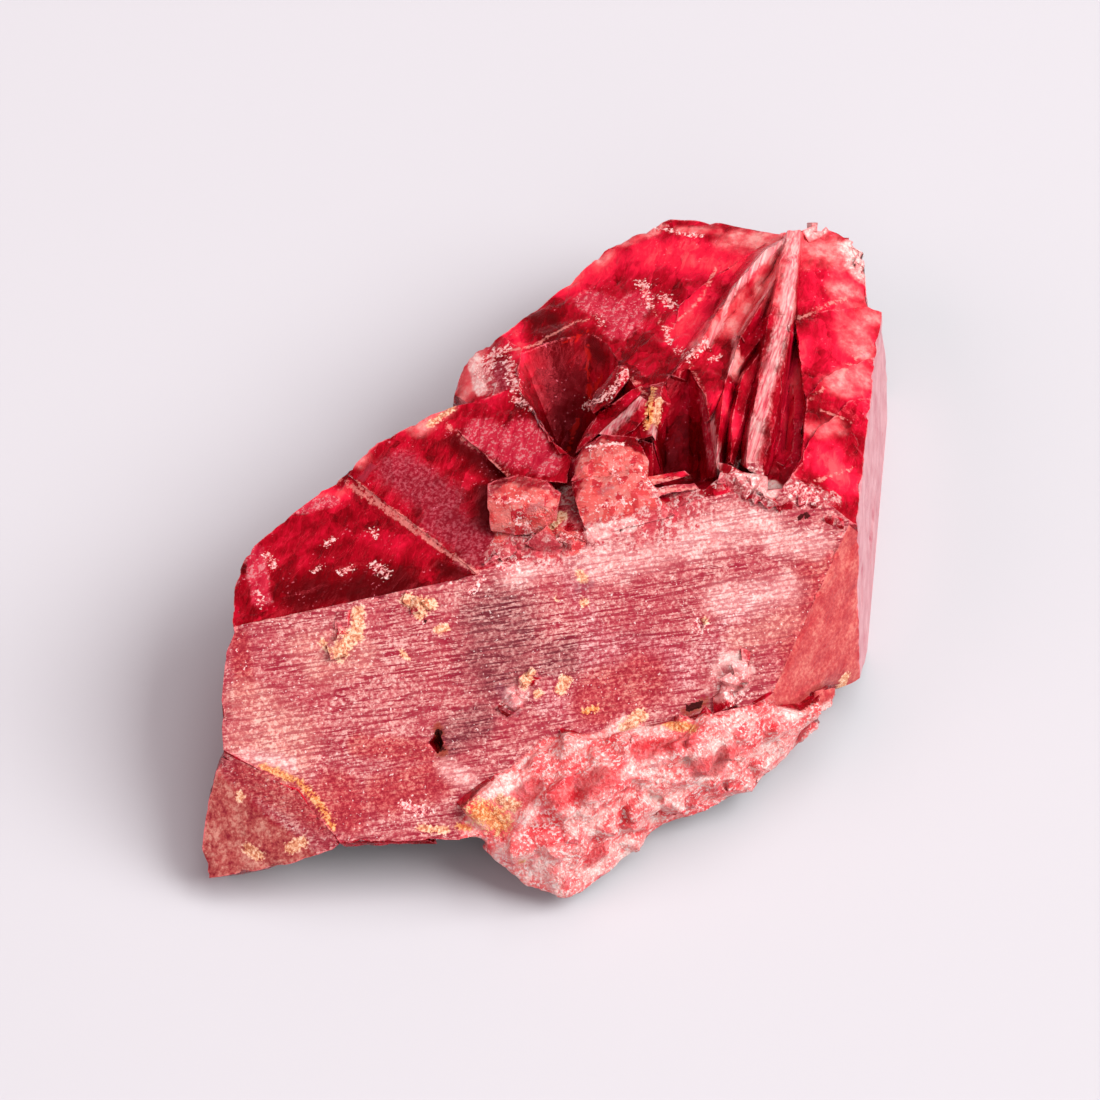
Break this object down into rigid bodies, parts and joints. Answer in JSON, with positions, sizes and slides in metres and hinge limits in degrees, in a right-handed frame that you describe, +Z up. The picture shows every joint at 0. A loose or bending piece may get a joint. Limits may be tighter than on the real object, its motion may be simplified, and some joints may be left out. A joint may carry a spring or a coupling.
{
  "type": "rough rhodonite crystal",
  "caption": "Broken piece of clear red rhodonite with a striated pink prism face, cleavage blocks, a fan of ribs, a hollow of small crystals and a sugary rough mass.",
  "frame": {"origin": "on the flat cleavage face that the crystal lies on, under its middle", "axes": "+X along the length, towards the end with the ribs; +Z up, away from the face that it lies on; the striated face slopes down towards -Y"},
  "size_m": [0.032, 0.019, 0.0073],
  "materials": {
    "rhodonite": "clear deep red with glassy cleavage faces, satin pink where striated, sugary and paler where rough"
  },
  "bodies": {
    "root": {"rhodonite": "rhodonite"}
  },
  "joints": []
}
